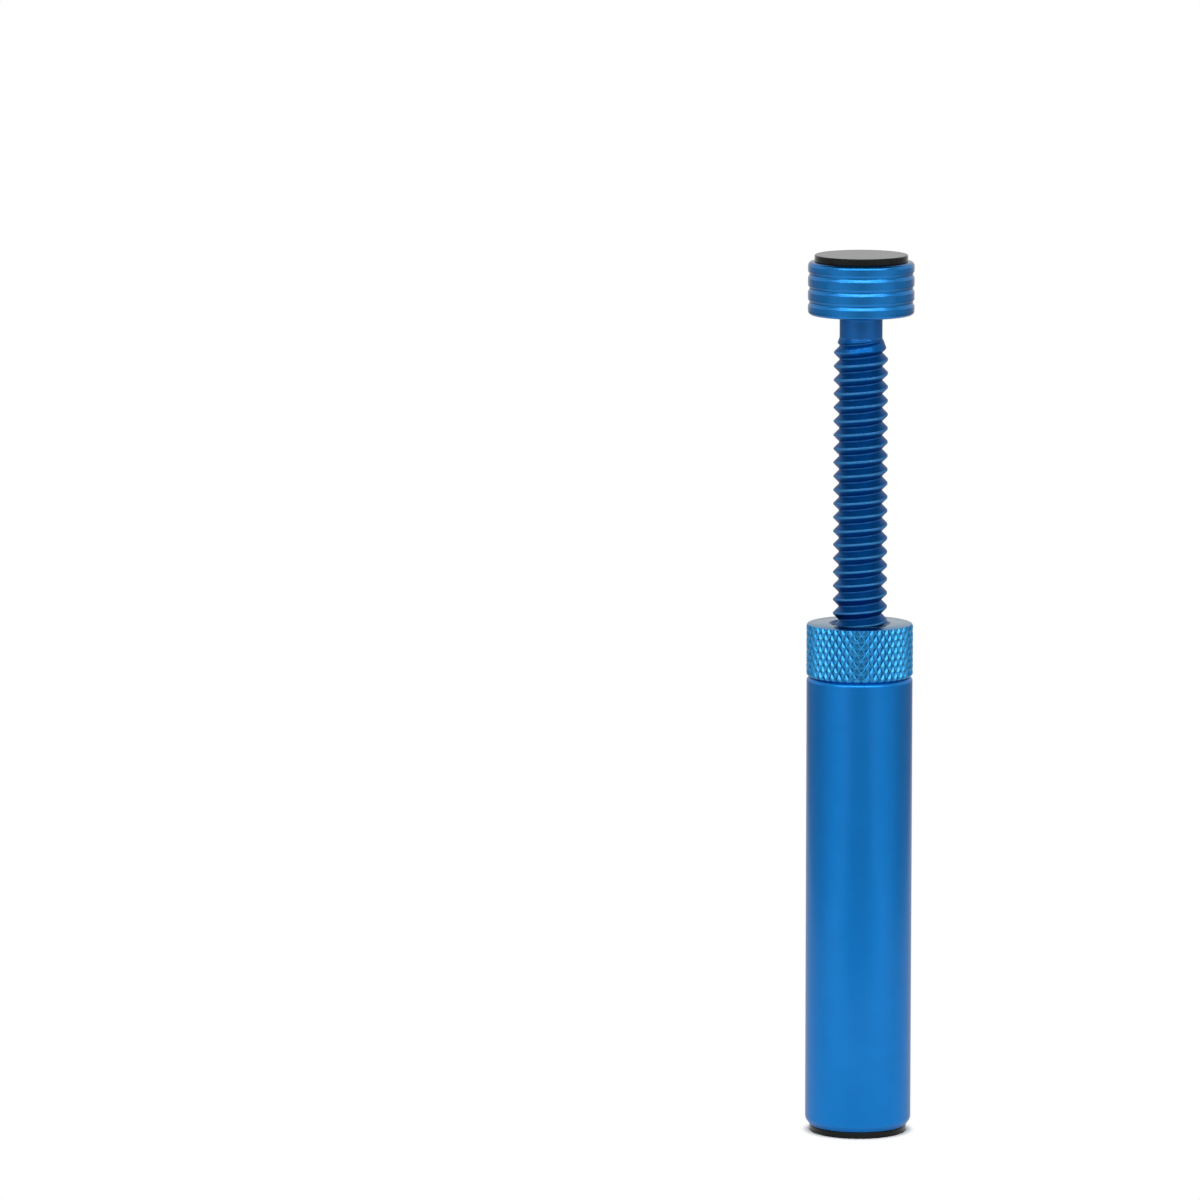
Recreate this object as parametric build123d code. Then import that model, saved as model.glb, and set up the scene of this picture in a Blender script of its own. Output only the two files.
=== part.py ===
"""Graphics card support bracket: a turned post whose knurled ring raises a jack screw.

Millimetres, +Z up, origin at the centre of the foot pad's underside. The card rests on the
top pad. The ring stands on the post tube and carries the screw, which hangs in the tube's bore.
"""

import math
import os

from build123d import *

# Bar that the tube and the screw's head are turned from
body_d = 14.15

# Post tube
tube_length = 60.75
tube_top_chamfer = 0.3
foot_chamfer_width = 0.6
foot_chamfer_height = 0.85
bore_clearance = 0.2
bore_mouth_chamfer = 0.4
bore_room = 2.0
drill_point_angle = 118.0

# Rubber pads
foot_pad_thickness = 0.85
top_pad_margin = 0.87
top_pad_thickness = 0.9

# Knurled ring, whose points stand proud of the bar
ring_height = 7.2
ring_top_inset = 0.05
ring_bottom_inset = 0.125
ring_chamfer_angle = 45.0
ring_mouth_chamfer = 0.2
knurl_count = 42
knurl_diamond_height = 1.7
knurl_top_margin = 0.65
knurl_bottom_margin = 0.55
knurl_depth = 0.28
knurl_proud = 0.03

# Jack screw
thread_d = 7.4
thread_pitch = 1.84
thread_depth = 0.9
thread_clearance = 0.15
thread_turn_offset = 0.72
thread_facets = 32
runout_length = 2.3
screw_end_chamfer = 1.0
screw_grip = 8.0
neck_d = 5.7
neck_length = 3.0
neck_fillet = 0.8
head_height = 7.1
head_round = 0.55
rim_flats = 3
groove_count = 3
groove_pitch = 1.87
groove_width = 1.0
groove_depth = 0.25

# Height of the head above the ring as set, which is the highest setting
extension = 41.35

# Heights above the foot
tube_bottom = foot_pad_thickness
tube_top = tube_bottom + tube_length
ring_top = tube_top + ring_height
head_bottom = ring_top + extension
head_top = head_bottom + head_height
thread_top = head_bottom - neck_length
screw_bottom = tube_top - screw_grip
bore_bottom = screw_bottom - extension - bore_room

# Radii
body_r = body_d / 2
foot_r = body_r - foot_chamfer_width
top_pad_r = body_r - top_pad_margin
crest_r = thread_d / 2
root_r = crest_r - thread_depth
neck_r = neck_d / 2
bore_r = crest_r + bore_clearance
knurl_tip_r = body_r + knurl_proud
knurl_valley_r = knurl_tip_r - knurl_depth
ring_top_r = knurl_valley_r - ring_top_inset
ring_bottom_r = knurl_valley_r - ring_bottom_inset
ring_crest_r = crest_r + thread_clearance
ring_root_r = root_r + thread_clearance
ring_mouth_r = ring_crest_r + ring_mouth_chamfer

# The crest crosses the +X side at this height, and again at every pitch from it
thread_phase = thread_top + thread_turn_offset


def turned(points):
    """Solid of revolution about Z from radius and height pairs."""
    outline = Wire.make_polygon([Vector(r, 0, z) for r, z in points], close=True)
    return Solid.revolve(Face(outline), 360, Axis.Z)


def facet(*corners):
    """Flat face between its corners."""
    return Face(Wire.make_polygon(corners, close=True))


def thread_point(radius, step, z):
    """Point on one of the edges that divide the thread's turn into flats."""
    turn = 2 * math.pi * step / thread_facets
    return Vector(radius * math.cos(turn), radius * math.sin(turn), z)


def flat_sided(points):
    """Solid about Z, in the thread's flats, from radius and height pairs between two end faces."""
    levels = [[thread_point(r, i, z) for i in range(thread_facets)] for r, z in points]
    faces = [facet(*levels[0]), facet(*levels[-1])]
    for under, over in zip(levels, levels[1:]):
        for i in range(thread_facets):
            faces.append(facet(under[i - 1], under[i], over[i], over[i - 1]))
    return Solid(Shell(faces))


def threaded_rod(root, crest, low, high):
    """Single-start V thread in flat facets, in phase with the screw, that reaches past both heights."""
    first = math.floor((low - thread_phase) / thread_pitch) - 2
    turns = math.ceil((high - low) / thread_pitch) + 4
    start = thread_phase + first * thread_pitch
    steps = turns * thread_facets

    def helix(radius, z, count):
        rise = thread_pitch / thread_facets
        return [thread_point(radius, i, z + i * rise) for i in range(count + 1)]

    ridge = helix(crest, start, steps)
    under = helix(root, start - thread_pitch / 2, steps + thread_facets)
    over = under[thread_facets:]
    faces = []
    for i in range(steps):
        faces.append(facet(under[i], under[i + 1], ridge[i]))
        faces.append(facet(under[i + 1], ridge[i + 1], ridge[i]))
        faces.append(facet(ridge[i], ridge[i + 1], over[i]))
        faces.append(facet(ridge[i + 1], over[i + 1], over[i]))
    # Each end is closed by a fan about the axis and by the step where the thread breaks off
    for rim, tip in ((under[: thread_facets + 1], ridge[0]), (over[-thread_facets - 1 :], ridge[-1])):
        hub = Vector(0, 0, (rim[0].Z + rim[-1].Z) / 2)
        faces += [facet(hub, a, b) for a, b in zip(rim, rim[1:])]
        faces.append(facet(hub, rim[0], tip, rim[-1]))
    return Solid(Shell(faces))


def knurled_blank(low, high):
    """Ring blank crossed by two sets of V cuts, which leave pointed diamonds, then chamfered."""
    band_low = low + knurl_bottom_margin
    band_high = high - knurl_top_margin
    rows = max(2, round(2 * (band_high - band_low) / knurl_diamond_height))
    rise = (band_high - band_low) / rows
    points = 2 * knurl_count

    def knurl_r(i, row):
        return knurl_tip_r if (i + row) % 2 else knurl_valley_r

    def at(i, radius, z):
        turn = 2 * math.pi * i / points
        return Vector(radius * math.cos(turn), radius * math.sin(turn), z)

    def chamfer_edge(row, end_r, end, way):
        """Wavy line where the chamfer from an end face meets the diamonds past the outer row."""
        slope = math.tan(math.radians(ring_chamfer_angle))
        row_z = band_low + row * rise
        edge = []
        for i in range(points):
            fall = (knurl_r(i, row + way) - knurl_r(i, row)) / rise
            past = (end_r + slope * abs(end - row_z) - knurl_r(i, row)) / (slope + fall)
            edge.append(at(i, knurl_r(i, row) + fall * past, row_z + way * past))
        return edge

    levels = [[at(i, ring_bottom_r, low) for i in range(points)]]
    levels.append(chamfer_edge(0, ring_bottom_r, low, -1))
    for row in range(rows + 1):
        levels.append([at(i, knurl_r(i, row), band_low + row * rise) for i in range(points)])
    levels.append(chamfer_edge(rows, ring_top_r, high, 1))
    levels.append([at(i, ring_top_r, high) for i in range(points)])
    faces = [facet(*levels[0]), facet(*levels[-1])]
    for row, (under, over) in enumerate(zip(levels, levels[1:])):
        for i in range(points):
            a, b = under[i - 1], under[i]
            c, d = over[i], over[i - 1]
            # The cut runs between the two valley points of each cell
            if (i + row) % 2:
                sides = ([a, b, c], [a, c, d])
            else:
                sides = ([a, b, d], [b, c, d])
            faces += [facet(*side) for side in sides]
    return Solid(Shell(faces))


def make_post_tube():
    point_height = bore_r / math.tan(math.radians(drill_point_angle / 2))
    return turned(
        [
            (0, tube_bottom),
            (foot_r, tube_bottom),
            (body_r, tube_bottom + foot_chamfer_height),
            (body_r, tube_top - tube_top_chamfer),
            (body_r - tube_top_chamfer, tube_top),
            (bore_r + bore_mouth_chamfer, tube_top),
            (bore_r, tube_top - bore_mouth_chamfer),
            (bore_r, bore_bottom),
            (0, bore_bottom - point_height),
        ]
    )


def make_knurled_ring():
    blank = knurled_blank(tube_top, ring_top)
    tapped = blank - threaded_rod(ring_root_r, ring_crest_r, tube_top, ring_top)
    sink = ring_mouth_r - ring_root_r
    for face, floor in ((ring_top, ring_top - sink), (tube_top, tube_top + sink)):
        tapped -= flat_sided([(ring_mouth_r, face), (ring_root_r, floor)])
    return tapped


def quarter_round(centre_r, centre_z, radius, first, last):
    """Points of a rounded corner, in flats, between two directions in degrees."""
    turns = [math.radians(first + (last - first) * i / rim_flats) for i in range(rim_flats + 1)]
    return [(centre_r + radius * math.cos(t), centre_z + radius * math.sin(t)) for t in turns]


def make_head():
    """Neck and grooved head, with a fillet between them and both rims of the head rounded."""
    rim_r = body_r - head_round
    middle = (head_bottom + head_top) / 2
    outline = [(0, thread_top), (neck_r, thread_top)]
    outline += quarter_round(neck_r + neck_fillet, head_bottom - neck_fillet, neck_fillet, 180, 90)
    outline += quarter_round(rim_r, head_bottom + head_round, head_round, -90, 0)
    for index in range(groove_count):
        z = middle + (index - (groove_count - 1) / 2) * groove_pitch
        outline += [
            (body_r, z - groove_width / 2),
            (body_r - groove_depth, z),
            (body_r, z + groove_width / 2),
        ]
    outline += quarter_round(rim_r, head_top - head_round, head_round, 0, 90)
    outline.append((0, head_top))
    return turned(outline)


def make_jack_screw():
    rod = threaded_rod(root_r, crest_r, screw_bottom, thread_top)
    outer_r = crest_r + thread_clearance
    run = (outer_r - neck_r) * runout_length / (crest_r - neck_r)
    end_r = crest_r - screw_end_chamfer
    limit = flat_sided(
        [
            (end_r, screw_bottom),
            (outer_r, screw_bottom + outer_r - end_r),
            (outer_r, thread_top - run),
            (neck_r, thread_top),
        ]
    )
    return (rod & limit) + make_head()


def make_pad(radius, low, thickness):
    return turned([(0, low), (radius, low), (radius, low + thickness), (0, low + thickness)])


pieces = {
    "foot_pad": make_pad(foot_r, 0, foot_pad_thickness),
    "post_tube": make_post_tube(),
    "knurled_ring": make_knurled_ring(),
    "jack_screw": make_jack_screw(),
    "top_pad": make_pad(top_pad_r, head_top, top_pad_thickness),
}

os.makedirs("parts", exist_ok=True)
for name, piece in pieces.items():
    export_step(piece, f"parts/{name}.step")
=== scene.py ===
import math

import bmesh
import bpy
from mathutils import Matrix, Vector


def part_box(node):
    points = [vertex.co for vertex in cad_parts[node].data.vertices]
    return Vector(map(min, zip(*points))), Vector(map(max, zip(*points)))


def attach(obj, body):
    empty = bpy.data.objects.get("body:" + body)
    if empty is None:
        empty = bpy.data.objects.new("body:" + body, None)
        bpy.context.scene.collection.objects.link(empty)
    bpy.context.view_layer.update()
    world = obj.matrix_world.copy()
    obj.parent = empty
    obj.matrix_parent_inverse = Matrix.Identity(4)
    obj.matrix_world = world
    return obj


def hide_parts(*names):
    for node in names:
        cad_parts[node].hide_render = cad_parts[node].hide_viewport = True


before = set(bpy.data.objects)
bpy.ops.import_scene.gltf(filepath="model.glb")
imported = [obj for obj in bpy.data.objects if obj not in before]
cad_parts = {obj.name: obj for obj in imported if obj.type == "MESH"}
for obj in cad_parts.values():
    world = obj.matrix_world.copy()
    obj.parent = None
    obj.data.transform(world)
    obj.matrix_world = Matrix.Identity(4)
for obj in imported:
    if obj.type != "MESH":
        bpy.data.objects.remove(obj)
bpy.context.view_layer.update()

per_metre = 1000
millimetre = 0.001

# Sizes in millimetres, as the solids have them
body_r = 7.075
foot_r = 6.475
foot_chamfer_height = 0.85
tube_top_chamfer = 0.3
bore_r = 3.9
bore_bottom = 10.25
bore_point = 7.907
bore_mouth_chamfer = 0.4

ring_mouth_r = 4.05
ring_top_r = 6.775
ring_bottom_r = 6.7
knurl_tip_r = 7.105
knurl_points = 84
knurl_rows = 7
knurl_low = 0.55
knurl_high = 0.65

thread_pitch = 1.84
crest_r = 3.7
root_r = 2.8
thread_clearance = 0.15
thread_turn_offset = 0.72
runout_length = 2.3
screw_end_r = 2.7
neck_r = 2.85
neck_length = 3.0
neck_fillet = 0.8
head_height = 7.1
head_round = 0.55
groove_pitch = 1.87
groove_depth = 0.25

top_pad_r = 6.205

# Finer forms than the solids have. A diamond's flank is given as a share of its half width, and
# the floor between two diamonds as a share of their height.
ring_round = 0.35
knurl_valley_r = 6.855
knurl_flank = 2 / 3
knurl_floor = 0.12
crest_flat = 0.18
root_flat = 0.14
groove_half = 0.44

# Easing of the edges
foot_ease = 0.1
shoulder_ease = 0.3
tube_top_ease = 0.2
tube_face_ease = 0.06
bore_ease = 0.04
crest_ease = 0.03
groove_edge_ease = 0.06
groove_floor_ease = 0.2
pad_lower_ease = 0.06
pad_upper_ease = 0.14

# Number of faces to a turn, to an eased edge and to the side of a diamond
turn_steps = 256
pad_steps = 192
thread_steps = 96
ease_segments = 4
knurl_fine = 6

# An edge where the faces meet at more than this, in degrees, is shaded sharp
sharp_angle = 28
ring_sharp_angle = 36

# A line of the thread's outline that rises more than this is a flank, and is cut this often
flank_rise = 0.2
flank_cuts = 4

# The thread's upper end is joined to the neck over this length
neck_join = 0.1

# A straight run longer than this gets a point at the margin from each end that is off the axis
long_run = 0.4
run_margin = 0.04
off_axis = 0.5

# The ring's sleeve closes in to a neck past the end faces, where it is cut off
sleeve_slope = 2.8
sleeve_r = 6

# Points this close are one, and points this close to a level lie in it
weld = 1e-3
fine_weld = 1e-4
level_room = 0.01


def span(node):
    """Lowest and highest level of a solid, in millimetres."""
    low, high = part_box(node)
    return low.z * per_metre, high.z * per_metre


foot_low, foot_high = span("foot_pad")
tube_low, tube_high = span("post_tube")
ring_low, ring_high = span("knurled_ring")
screw_low, head_high = span("jack_screw")
pad_low, pad_high = span("top_pad")
head_low = head_high - head_height
thread_high = head_low - neck_length
thread_start = thread_high + thread_turn_offset


def radius(vert):
    return math.hypot(vert.co.x, vert.co.y)


def set_radius(vert, r):
    scale = r / radius(vert)
    vert.co.x *= scale
    vert.co.y *= scale


def outline(bm, corners):
    """Open wire in the XZ plane from radius, level and edge easing."""
    verts = [bm.verts.new((r, 0, z)) for r, z, ease in corners]
    for pair in zip(verts, verts[1:]):
        bm.edges.new(pair)
    for width in sorted({ease for r, z, ease in corners if ease}):
        eased = [v for v, (r, z, ease) in zip(verts, corners) if ease == width]
        bmesh.ops.bevel(
            bm,
            geom=eased,
            offset=width,
            offset_type="OFFSET",
            segments=ease_segments,
            profile=0.5,
            affect="VERTICES",
            material=-1,
        )


def hold_flats(bm):
    """Adds a point close to each end of a long straight run, so that the run is shaded flat."""
    for edge in [e for e in bm.edges if e.calc_length() > long_run]:
        for end in edge.verts[:]:
            if radius(end) > off_axis:
                bmesh.utils.edge_split(edge, end, run_margin / edge.calc_length())


def turn(bm, corners, steps=turn_steps):
    """Turns an outline about the post's axis."""
    part = bmesh.new()
    outline(part, corners)
    hold_flats(part)
    bmesh.ops.spin(
        part,
        geom=part.verts[:] + part.edges[:],
        cent=(0, 0, 0),
        axis=(0, 0, 1),
        angle=2 * math.pi,
        steps=steps,
        use_merge=True,
    )
    bmesh.ops.remove_doubles(part, verts=part.verts, dist=fine_weld)
    add(bm, part)


def add(bm, part):
    """Adds a part's faces to the piece."""
    mesh = bpy.data.meshes.new("part")
    part.to_mesh(mesh)
    part.free()
    bm.from_mesh(mesh)
    bpy.data.meshes.remove(mesh)


def trim(bm, low, high):
    """Cuts off what lies below one level and above another, and leaves an open rim at each."""
    for level, side in ((low, -1), (high, 1)):
        bmesh.ops.bisect_plane(
            bm,
            geom=bm.verts[:] + bm.edges[:] + bm.faces[:],
            dist=fine_weld,
            plane_co=(0, 0, level),
            plane_no=(0, 0, side),
            clear_outer=True,
        )


def helix(bm, root, crest, low, high, limit):
    """Thread between two levels, its points held by limit(r, z), with an open rim at each end."""
    part = bmesh.new()
    slope = (crest - root) / (thread_pitch / 2)
    first = math.floor((low - thread_start) / thread_pitch) - 1
    turns = math.ceil((high - low) / thread_pitch) + 3
    z = thread_start + (first - 0.5) * thread_pitch
    valley = root + slope * root_flat / 2
    ridge = crest - slope * crest_flat / 2
    outline(
        part,
        [
            (valley, z - root_flat / 2, 0),
            (valley, z + root_flat / 2, 0),
            (ridge, z + thread_pitch / 2 - crest_flat / 2, crest_ease),
            (ridge, z + thread_pitch / 2 + crest_flat / 2, crest_ease),
            (valley, z + thread_pitch - root_flat / 2, 0),
        ],
    )
    flanks = [e for e in part.edges if abs(radius(e.verts[0]) - radius(e.verts[1])) > flank_rise]
    bmesh.ops.subdivide_edges(part, edges=flanks, cuts=flank_cuts)
    bmesh.ops.spin(
        part,
        geom=part.verts[:] + part.edges[:],
        cent=(0, 0, 0),
        axis=(0, 0, 1),
        dvec=(0, 0, thread_pitch / thread_steps),
        angle=2 * math.pi,
        steps=thread_steps,
    )
    one_turn = part.verts[:] + part.edges[:] + part.faces[:]
    for index in range(1, turns):
        copy = bmesh.ops.duplicate(part, geom=one_turn)["geom"]
        verts = [v for v in copy if isinstance(v, bmesh.types.BMVert)]
        bmesh.ops.translate(part, verts=verts, vec=(0, 0, index * thread_pitch))
    bmesh.ops.remove_doubles(part, verts=part.verts, dist=weld)
    for vert in part.verts:
        set_radius(vert, limit(radius(vert), vert.co.z))
    trim(part, low, high)
    bmesh.ops.remove_doubles(part, verts=part.verts, dist=weld)
    add(bm, part)


def open_rim(bm, level):
    """Open edges at a level."""
    return [
        e
        for e in bm.edges
        if e.is_boundary and all(abs(v.co.z - level) < level_room for v in e.verts)
    ]


def show(bm, name):
    """Makes an object of the faces."""
    mesh = bpy.data.meshes.new(name)
    bm.to_mesh(mesh)
    bm.free()
    obj = bpy.data.objects.new(name, mesh)
    bpy.context.scene.collection.objects.link(obj)
    return obj


def piece(bm, name, body, finish, sharp=sharp_angle):
    """Closes up a piece, in metres, and hangs it on its body in place of the solid of that name."""
    bmesh.ops.scale(bm, vec=(millimetre, millimetre, millimetre), verts=bm.verts)
    bmesh.ops.recalc_face_normals(bm, faces=bm.faces)
    for face in bm.faces:
        face.smooth = True
    for edge in bm.edges:
        edge.smooth = edge.calc_face_angle(0) < math.radians(sharp)
    obj = show(bm, name + "_fine")
    obj.data.materials.append(finish)
    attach(obj, body)
    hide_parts(name)


def make_tube(finish):
    bm = bmesh.new()
    turn(
        bm,
        [
            (0, tube_low, 0),
            (foot_r, tube_low, foot_ease),
            (body_r, tube_low + foot_chamfer_height, shoulder_ease),
            (body_r, tube_high - tube_top_chamfer, tube_top_ease),
            (body_r - tube_top_chamfer, tube_high, tube_face_ease),
            (bore_r + bore_mouth_chamfer, tube_high, bore_ease),
            (bore_r, tube_high - bore_mouth_chamfer, bore_ease),
            (bore_r, bore_bottom, 0),
            (0, bore_point, 0),
        ],
    )
    piece(bm, "post_tube", "post", finish)


def make_ring(finish):
    bm = bmesh.new()
    low, high = ring_low + knurl_low, ring_high - knurl_high
    row_height = (high - low) / knurl_rows
    step = row_height / knurl_fine

    # A sleeve that reaches past both end faces
    around = knurl_points * knurl_fine
    start = bmesh.ops.create_circle(bm, segments=around, radius=knurl_tip_r)["verts"]
    bmesh.ops.translate(bm, verts=start, vec=(0, 0, low - row_height))
    rim = bm.edges[:]
    for _ in range((knurl_rows + 2) * knurl_fine):
        grown = bmesh.ops.extrude_edge_only(bm, edges=rim)["geom"]
        raised = {v for v in grown if isinstance(v, bmesh.types.BMVert)}
        edges = [e for e in grown if isinstance(e, bmesh.types.BMEdge)]
        rim = [e for e in edges if raised.issuperset(e.verts)]
        bmesh.ops.translate(bm, verts=list(raised), vec=(0, 0, step))

    def edge_reach(depth):
        """How far the rounded upper edge reaches out past the end face, at a depth below it."""
        if depth < 0:
            return sleeve_slope * depth
        depth = min(depth, ring_round)
        return math.sqrt(depth * (2 * ring_round - depth))

    # Two sets of V cuts leave flat-topped diamonds, and both ends are eased across them
    for vert in bm.verts:
        place = math.atan2(vert.co.y, vert.co.x) / (2 * math.pi) * knurl_points
        row = (vert.co.z - low) / row_height
        across = [1 - abs((place + way * row) % 2 - 1) for way in (1, -1)]
        share = max(knurl_floor, min(1, min(across) / knurl_flank))
        r = knurl_valley_r + (knurl_tip_r - knurl_valley_r) * share
        lower = ring_bottom_r + vert.co.z - ring_low
        upper = ring_top_r + edge_reach(ring_high - vert.co.z)
        set_radius(vert, min(r, max(lower, sleeve_r), max(upper, sleeve_r)))
    bmesh.ops.triangulate(bm, faces=bm.faces[:], quad_method="SHORT_EDGE")
    trim(bm, ring_low, ring_high)

    def mouth(r, z):
        """Countersinks the thread at both end faces."""
        return max(r, ring_mouth_r - (ring_high - z), ring_mouth_r - (z - ring_low))

    helix(bm, root_r + thread_clearance, crest_r + thread_clearance, ring_low, ring_high, mouth)
    for level in (ring_low, ring_high):
        bmesh.ops.bridge_loops(bm, edges=open_rim(bm, level))
    piece(bm, "knurled_ring", "ring", finish, ring_sharp_angle)


def make_screw(finish):
    bm = bmesh.new()

    def ends(r, z):
        """Runs the thread out into the neck and chamfers the screw's end."""
        slope = (crest_r - neck_r) / runout_length
        fade = neck_r + max(0, thread_high - z) * slope
        point = screw_end_r + max(0, z - screw_low)
        return min(r, fade, point)

    helix(bm, root_r, crest_r, screw_low, thread_high, ends)
    neck_low = thread_high + neck_join
    head_middle = (head_low + head_high) / 2
    corners = [
        (neck_r, neck_low, 0),
        (neck_r, head_low, neck_fillet),
        (body_r, head_low, head_round),
    ]
    for index in (-1, 0, 1):
        z = head_middle + index * groove_pitch
        corners += [
            (body_r, z - groove_half, groove_edge_ease),
            (body_r - groove_depth, z, groove_floor_ease),
            (body_r, z + groove_half, groove_edge_ease),
        ]
    corners += [(body_r, head_high, head_round), (0, head_high, 0)]
    turn(bm, corners)
    bmesh.ops.bridge_loops(bm, edges=open_rim(bm, thread_high) + open_rim(bm, neck_low))
    bmesh.ops.holes_fill(bm, edges=open_rim(bm, screw_low), sides=0)
    piece(bm, "jack_screw", "screw", finish)


def make_pad(name, body, r, low, high, finish):
    bm = bmesh.new()
    corners = [(0, low, 0), (r, low, pad_lower_ease), (r, high, pad_upper_ease), (0, high, 0)]
    turn(bm, corners, pad_steps)
    piece(bm, name, body, finish)


class Finish:
    """A material and the node calls that the finishes share. Its places are in millimetres."""

    def __init__(self, name):
        self.material = bpy.data.materials.new(name)
        self.material.use_nodes = True
        self.tree = self.material.node_tree
        self.nodes = self.tree.nodes
        self.shader = self.nodes["Principled BSDF"]
        place = self.nodes.new("ShaderNodeTexCoord")
        scale = self.nodes.new("ShaderNodeMapping")
        scale.inputs["Scale"].default_value = (per_metre, per_metre, per_metre)
        self.link(place.outputs["Object"], scale.inputs["Vector"])
        self.place = scale.outputs["Vector"]

    def link(self, a, b):
        self.tree.links.new(a, b)

    def feed(self, name, value):
        """Links an output to one of the shader's inputs."""
        self.link(value, self.shader.inputs[name])

    def fix(self, name, value):
        """Sets one of the shader's inputs for the whole piece."""
        self.shader.inputs[name].default_value = value

    def noise(self, scale, detail, rough=0.5, stretch=None):
        node = self.nodes.new("ShaderNodeTexNoise")
        node.inputs["Scale"].default_value = scale
        node.inputs["Detail"].default_value = detail
        node.inputs["Roughness"].default_value = rough
        place = self.place
        if stretch:
            along = self.nodes.new("ShaderNodeMapping")
            along.inputs["Scale"].default_value = stretch
            self.link(place, along.inputs["Vector"])
            place = along.outputs["Vector"]
        self.link(place, node.inputs["Vector"])
        return node.outputs["Fac"]

    def spread(self, value, low, high, from_low=0.25, from_high=0.75):
        """Maps a range of values, as a rule the middle half of a noise, to another range."""
        node = self.nodes.new("ShaderNodeMapRange")
        node.inputs["From Min"].default_value = from_low
        node.inputs["From Max"].default_value = from_high
        node.inputs["To Min"].default_value = low
        node.inputs["To Max"].default_value = high
        self.link(value, node.inputs["Value"])
        return node.outputs["Result"]

    def beyond(self, low, high):
        """Rises from 0 to 1 between two radii about the post's axis."""
        flat = self.nodes.new("ShaderNodeVectorMath")
        flat.operation = "MULTIPLY"
        flat.inputs[1].default_value = (1, 1, 0)
        self.link(self.place, flat.inputs[0])
        length = self.nodes.new("ShaderNodeVectorMath")
        length.operation = "LENGTH"
        self.link(flat.outputs["Vector"], length.inputs[0])
        return self.spread(length.outputs["Value"], 0, 1, low, high)

    def plus(self, a, b):
        node = self.nodes.new("ShaderNodeMath")
        node.operation = "ADD"
        self.link(a, node.inputs[0])
        self.link(b, node.inputs[1])
        return node.outputs[0]

    def mix(self, factor, a, b):
        node = self.nodes.new("ShaderNodeMix")
        node.data_type = "RGBA"
        self.link(factor, node.inputs["Factor"])
        for value, socket in ((a, node.inputs[6]), (b, node.inputs[7])):
            if isinstance(value, tuple):
                socket.default_value = (*value, 1)
            else:
                self.link(value, socket)
        return node.outputs[2]

    def bump(self, height, strength, depth_mm, under=None):
        node = self.nodes.new("ShaderNodeBump")
        node.inputs["Strength"].default_value = strength
        node.inputs["Distance"].default_value = depth_mm * millimetre
        self.link(height, node.inputs["Height"])
        if under:
            self.link(under, node.inputs["Normal"])
        return node.outputs["Normal"]


# Radii over which the thread's tone changes from root to flank and from flank to crest: painted
# highlights along the root and crest, painted shade on the flank
root_highlight_r = (2.88, 2.95)
crest_highlight_r = (3.48, 3.6)

# How far the roughness strays along the lathe lines, and how much rougher the thread is
line_rough = 0.04
thread_rough = 0.14


def anodised(name, light, deep, rough, coat, painted_core_tones=None, painted_core_r=None):
    """Blue anodised aluminium: fine lathe lines under a blasted grain, dyed a little unevenly.

    The coat is one weight, or two weights and the radii between which the first gives way to
    the second. Inside the core radii the colour is painted shade and the surface is rougher, with a
    tone each for the thread's root, flank and crest; the root and crest tones are painted
    highlights.
    """
    f = Finish(name)
    cloud = f.noise(scale=0.35, detail=3)
    grain = f.noise(scale=14, detail=2)
    lines = f.noise(scale=1.0, detail=2, stretch=(0.02, 0.02, 16))
    tone = f.mix(f.spread(cloud, low=0.15, high=0.85), deep, light)
    sheen = f.spread(lines, rough - line_rough, rough + line_rough)
    if painted_core_tones:
        # Painted shade inside the core radii, lighter along the thread's root and crest as painted
        # highlights
        outside_painted_core = f.beyond(*painted_core_r)
        root, flank, crest = painted_core_tones
        root_and_flank_paint = f.mix(f.beyond(*root_highlight_r), root, flank)
        tone = f.mix(outside_painted_core, f.mix(f.beyond(*crest_highlight_r), root_and_flank_paint, crest), tone)
        sheen = f.plus(sheen, f.spread(outside_painted_core, thread_rough, 0, 0, 1))
    if isinstance(coat, tuple):
        inner, outer, low, high = coat
        f.feed("Coat Weight", f.spread(f.beyond(low, high), inner, outer, 0, 1))
    else:
        f.fix("Coat Weight", coat)
    f.feed("Base Color", f.mix(f.spread(grain, low=0, high=0.18), tone, light))
    f.feed("Roughness", sheen)
    turned = f.bump(lines, strength=0.12, depth_mm=0.01)
    f.feed("Normal", f.bump(grain, strength=0.06, depth_mm=0.008, under=turned))
    f.fix("Metallic", 1)
    f.fix("Specular Tint", (0.72, 0.66, 0.56, 1))
    f.fix("Coat Roughness", 0.15)
    f.fix("Coat IOR", 1.5)
    return f.material


def rubber(name):
    """Black rubber with a fine moulded grain that holds a little dust."""
    f = Finish(name)
    grain = f.noise(scale=7, detail=4, rough=0.6)
    cloud = f.noise(scale=0.4, detail=2)
    dark, worn, dust = (0.003, 0.0035, 0.004), (0.005, 0.0056, 0.006), (0.011, 0.012, 0.013)
    tone = f.mix(f.spread(cloud, low=0, high=1), dark, worn)
    dusty = f.spread(grain, low=0, high=0.6, from_low=0.45, from_high=0.7)
    f.feed("Base Color", f.mix(dusty, tone, dust))
    f.feed("Roughness", f.spread(grain, low=0.19, high=0.27))
    f.feed("Normal", f.bump(grain, strength=0.15, depth_mm=0.01))
    f.fix("IOR", 1.25)
    return f.material


# Painted shade on the thread's flanks and in the ring's mouth; a lighter painted shade on the neck,
# which is also a painted highlight along the thread's root; a painted highlight along the crest
painted_shade_navy = (0.002, 0.075, 0.265)
neck_shade_root_highlight = (0.014, 0.106, 0.335)
crest_highlight_blue = (0.04, 0.2, 0.46)

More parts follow.
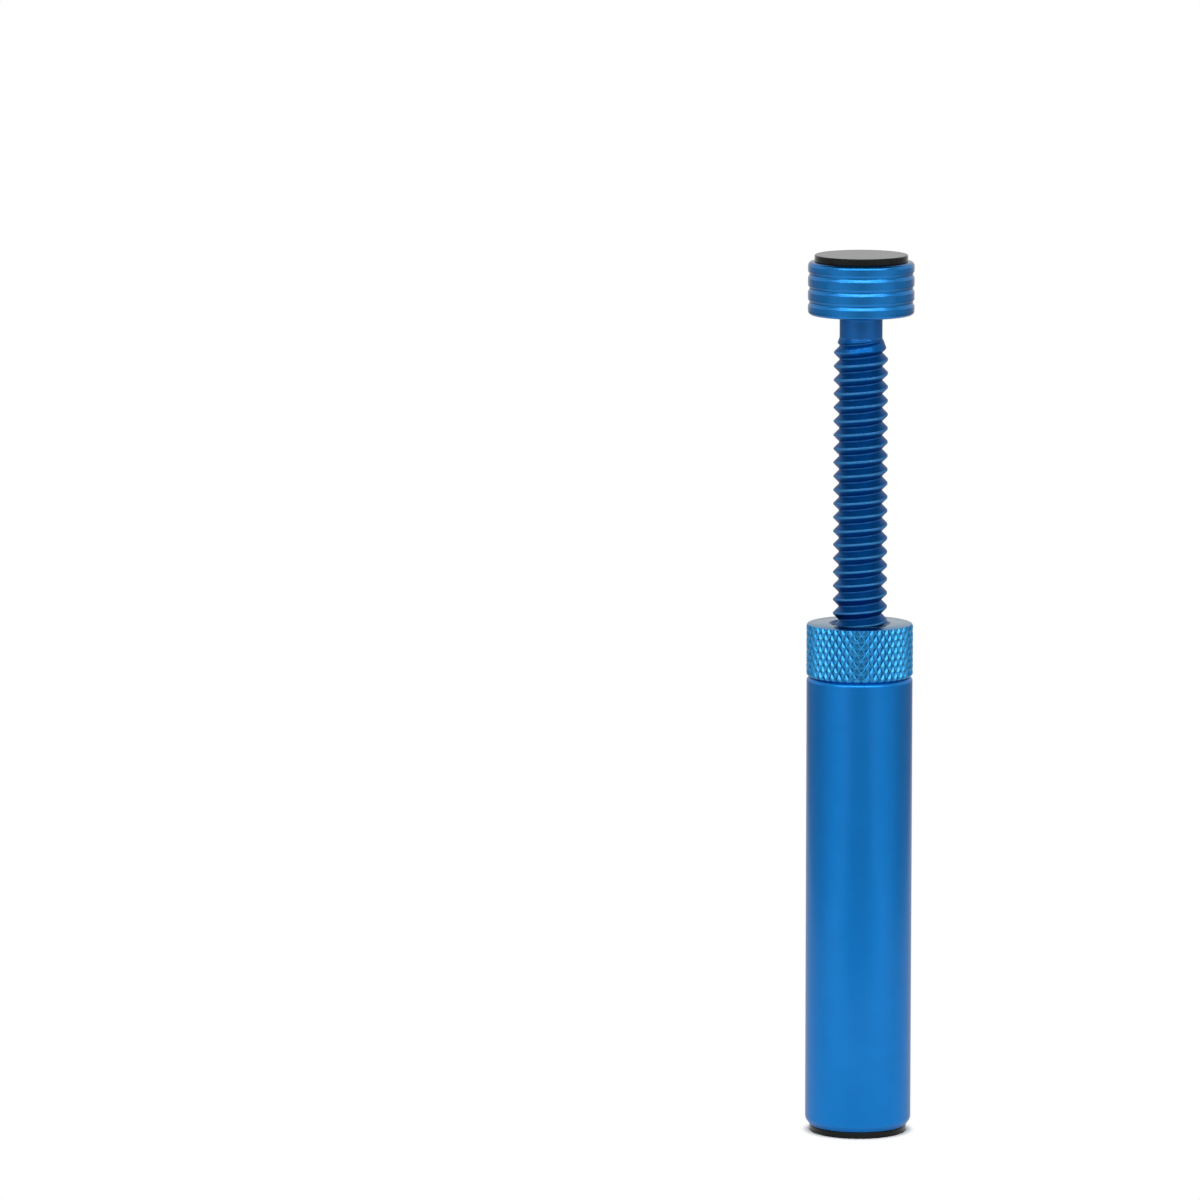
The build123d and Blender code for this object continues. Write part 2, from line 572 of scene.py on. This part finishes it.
tube_finish = anodised(
    "tube_blue_anodised",
    light=(0.002, 0.19, 0.575),
    deep=(0.001, 0.17, 0.525),
    rough=0.38,
    coat=0.25,
)
ring_finish = anodised(
    "ring_blue_anodised",
    light=(0.002, 0.228, 0.53),
    deep=(0.001, 0.2, 0.48),
    rough=0.23,
    coat=(0.3, 0.7, 6.75, 6.85),
    # Painted shade in the ring's mouth about the screw and on its inner thread
    painted_core_tones=(painted_shade_navy, painted_shade_navy, painted_shade_navy),
    painted_core_r=(4.0, 4.25),
)
screw_finish = anodised(
    "screw_blue_anodised",
    light=(0.002, 0.165, 0.48),
    deep=(0.001, 0.145, 0.43),
    rough=0.29,
    coat=(0.08, 0.35, 4.0, 4.6),
    # Painted shade on the neck and thread, with painted highlights along the thread's root and
    # crest
    painted_core_tones=(neck_shade_root_highlight, painted_shade_navy, crest_highlight_blue),
    painted_core_r=(4.0, 4.6),
)
pad_finish = rubber("black_rubber")

make_tube(tube_finish)
make_ring(ring_finish)
make_screw(screw_finish)
make_pad("foot_pad", "post", foot_r, foot_low, foot_high, pad_finish)
make_pad("top_pad", "screw", top_pad_r, pad_low, pad_high, pad_finish)


def white_to_eye(tree):
    """Gives 1 where white is seen, directly or by way of a shiny or clear surface, and else 0."""
    nodes, links = tree.nodes, tree.links
    path = nodes.new("ShaderNodeLightPath")
    seen = path.outputs["Is Camera Ray"]
    for way in ("Is Glossy Ray", "Is Transmission Ray"):
        either = nodes.new("ShaderNodeMath")
        either.operation = "MAXIMUM"
        links.new(seen, either.inputs[0])
        links.new(path.outputs[way], either.inputs[1])
        seen = either.outputs[0]
    return seen


def make_room(brightness):
    """A room that looks white and lights the post at the given brightness."""
    world = bpy.data.worlds.new("studio")
    bpy.context.scene.world = world
    world.use_nodes = True
    nodes, links = world.node_tree.nodes, world.node_tree.links
    nodes.clear()
    choose = nodes.new("ShaderNodeMixShader")
    links.new(white_to_eye(world.node_tree), choose.inputs[0])
    for strength, socket in ((brightness, choose.inputs[1]), (1, choose.inputs[2])):
        shade = nodes.new("ShaderNodeBackground")
        shade.inputs["Color"].default_value = (1, 1, 1, 1)
        shade.inputs["Strength"].default_value = strength
        links.new(shade.outputs[0], socket)
    out = nodes.new("ShaderNodeOutputWorld")
    links.new(choose.outputs[0], out.inputs[0])


def make_floor(half_width, shadow_r):
    """White paper, whose shading shows close to the foot and fades out between two radii."""
    bm = bmesh.new()
    bmesh.ops.create_grid(bm, x_segments=1, y_segments=1, size=half_width)
    floor = show(bm, "floor")
    paper = bpy.data.materials.new("white_paper")
    paper.use_nodes = True
    nodes, links = paper.node_tree.nodes, paper.node_tree.links
    shaded = nodes["Principled BSDF"]
    shaded.inputs["Base Color"].default_value = (0.92, 0.92, 0.92, 1)
    shaded.inputs["Roughness"].default_value = 0.8
    shaded.inputs["Specular IOR Level"].default_value = 0.1
    plain = nodes.new("ShaderNodeEmission")
    plain.inputs["Strength"].default_value = 1
    spot = nodes.new("ShaderNodeTexCoord")
    reach = nodes.new("ShaderNodeVectorMath")
    reach.operation = "LENGTH"
    links.new(spot.outputs["Object"], reach.inputs[0])
    fade = nodes.new("ShaderNodeMapRange")
    fade.interpolation_type = "SMOOTHSTEP"
    fade.inputs["From Min"].default_value, fade.inputs["From Max"].default_value = shadow_r
    links.new(reach.outputs["Value"], fade.inputs["Value"])
    far = nodes.new("ShaderNodeMath")
    far.operation = "MULTIPLY"
    links.new(fade.outputs["Result"], far.inputs[0])
    links.new(white_to_eye(paper.node_tree), far.inputs[1])
    blend = nodes.new("ShaderNodeMixShader")
    links.new(far.outputs[0], blend.inputs[0])
    links.new(shaded.outputs[0], blend.inputs[1])
    links.new(plain.outputs[0], blend.inputs[2])
    links.new(blend.outputs[0], nodes["Material Output"].inputs[0])
    floor.data.materials.append(paper)


make_room(brightness=0.5)
make_floor(half_width=4, shadow_r=(0.0064, 0.0078))


def face_to(obj, place, aim, front):
    """Puts an object in its place with its front towards the aim."""
    obj.location = place
    obj.rotation_euler = (Vector(aim) - Vector(place)).to_track_quat(front, "Y").to_euler()


def softbox(name, place, aim, size, watts):
    """Long lamp."""
    data = bpy.data.lights.new(name, "AREA")
    data.shape = "RECTANGLE"
    data.size, data.size_y = size
    data.energy = watts
    lamp = bpy.data.objects.new(name, data)
    face_to(lamp, place, aim, "-Z")
    bpy.context.scene.collection.objects.link(lamp)


def flag(name, place, aim, size, shade):
    """Card beside the light that only shiny surfaces see."""
    bm = bmesh.new()
    bmesh.ops.create_grid(bm, x_segments=1, y_segments=1, size=0.5)
    bmesh.ops.scale(bm, vec=(*size, 1), verts=bm.verts)
    card = show(bm, name)
    face_to(card, place, aim, "Z")
    paint = bpy.data.materials.new(name + "_card")
    paint.use_nodes = True
    nodes, links = paint.node_tree.nodes, paint.node_tree.links
    nodes.clear()
    even = nodes.new("ShaderNodeEmission")
    even.inputs["Color"].default_value = (shade, shade, shade, 1)
    end = nodes.new("ShaderNodeOutputMaterial")
    links.new(even.outputs[0], end.inputs[0])
    card.data.materials.append(paint)
    card.visible_camera = False
    card.visible_diffuse = False
    card.visible_shadow = False


# Each lamp and card: its place, what it faces, its size in metres and its watts or shade
middle = (0, 0, 0.06)
softbox("upper_strip", (0, -0.78, 0.88), middle, (2.3, 0.14), 6.5)
softbox("left_upper_strip", (-0.8, -0.37, 0.88), middle, (0.9, 0.14), 0.8)
softbox("right_upper_strip", (0.8, -0.37, 0.88), middle, (0.9, 0.14), 0.8)
softbox("lower_strip", (0, -0.95, 0.61), middle, (2.2, 0.14), 3.5)
flag("left_flag", (-0.862, -0.28, 0.483), middle, (0.5, 0.4), 0.4)
flag("right_flag", (0.862, -0.28, 0.483), middle, (0.5, 0.4), 0.4)
flag("overhead_flag", (0, 0.1, 0.9), middle, (1.6, 1.0), 0.05)
flag("front_flag", (0, -2.4, 0.4), (0, 0, 0.4), (3.0, 1.0), 0.35)
flag("front_card", (0, -1.0, 0.002), (0, -1.0, 1), (3.0, 1.3), 0.85)
flag("near_card", (0, -0.2, 0.002), (0, -0.2, 1), (0.9, 0.34), 1.2)
flag("middle_card", (0, -0.6, 0.003), (0, -0.6, 1), (0.22, 1.0), 0.6)
flag("left_card", (-0.75, 0.3, 0.002), (-0.75, 0.3, 1), (1.2, 1.1), 0.4)
flag("right_card", (0.75, 0.3, 0.002), (0.75, 0.3, 1), (1.2, 1.1), 0.4)

camera_place = (-0.03463, -1.1488, 0.2403)
camera_drop = 8.34

camera_data = bpy.data.cameras.new("camera")
camera_data.sensor_width = 36
camera_data.lens = 261.4
camera_data.clip_end = 20
camera = bpy.data.objects.new("camera", camera_data)
camera.location = camera_place
camera.rotation_euler = (math.radians(90 - camera_drop), 0, 0)
bpy.context.scene.collection.objects.link(camera)
bpy.context.scene.camera = camera

bpy.context.scene.view_settings.view_transform = "Standard"
